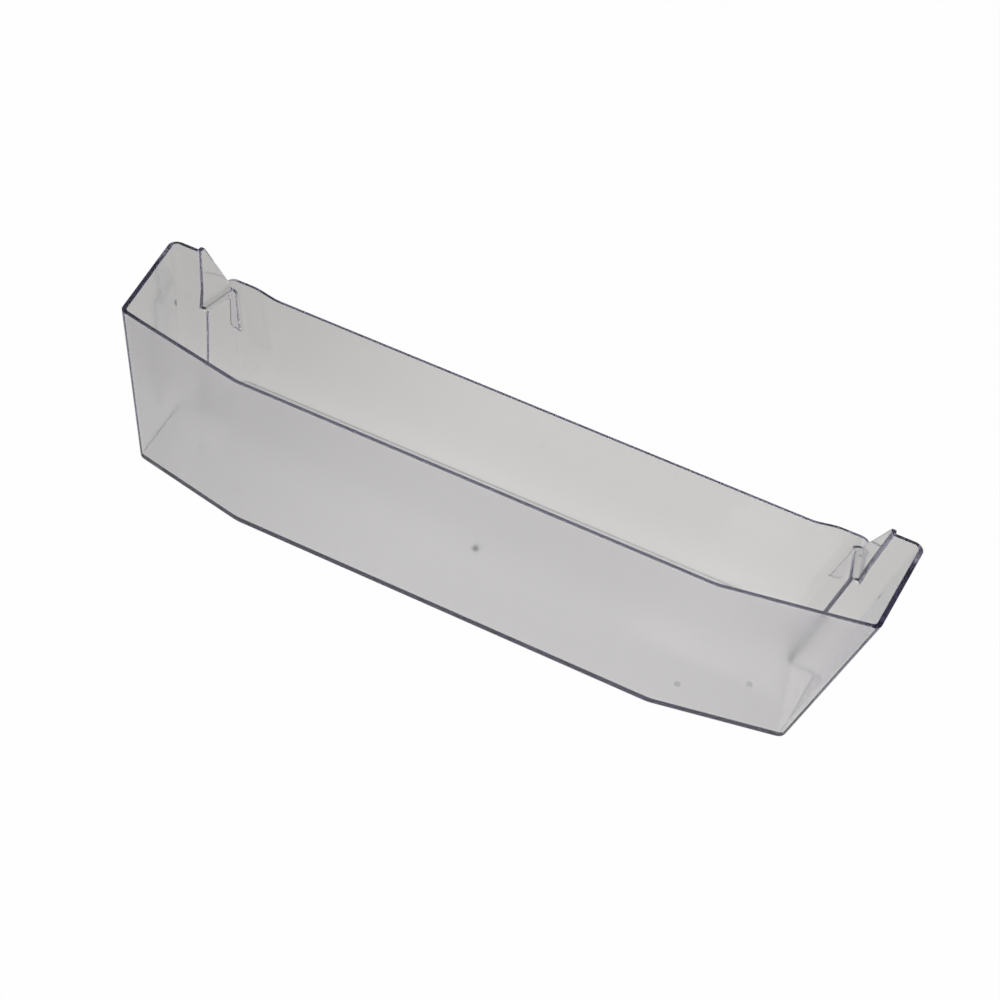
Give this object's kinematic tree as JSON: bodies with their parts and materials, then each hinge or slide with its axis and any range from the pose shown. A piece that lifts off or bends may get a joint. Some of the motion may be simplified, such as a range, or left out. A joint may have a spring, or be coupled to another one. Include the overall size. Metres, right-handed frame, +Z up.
{
  "type": "fridge door shelf",
  "caption": "Clear moulded fridge door shelf: an open tray with angled front, leaning sides, a low back wall and stepped ends with seats that hang on the door's lugs.",
  "frame": {"origin": "under the middle of the floor, at the centre of the shelf's outline seen from above", "axes": "+X along the shelf to the right as seen from the front, +Y towards the door, +Z up"},
  "size_m": [0.4818, 0.125, 0.1082],
  "materials": {
    "clear_plastic": "clear glossy moulded plastic with a faint violet tint"
  },
  "bodies": {
    "root": {"door_shelf": "clear_plastic"}
  },
  "joints": []
}
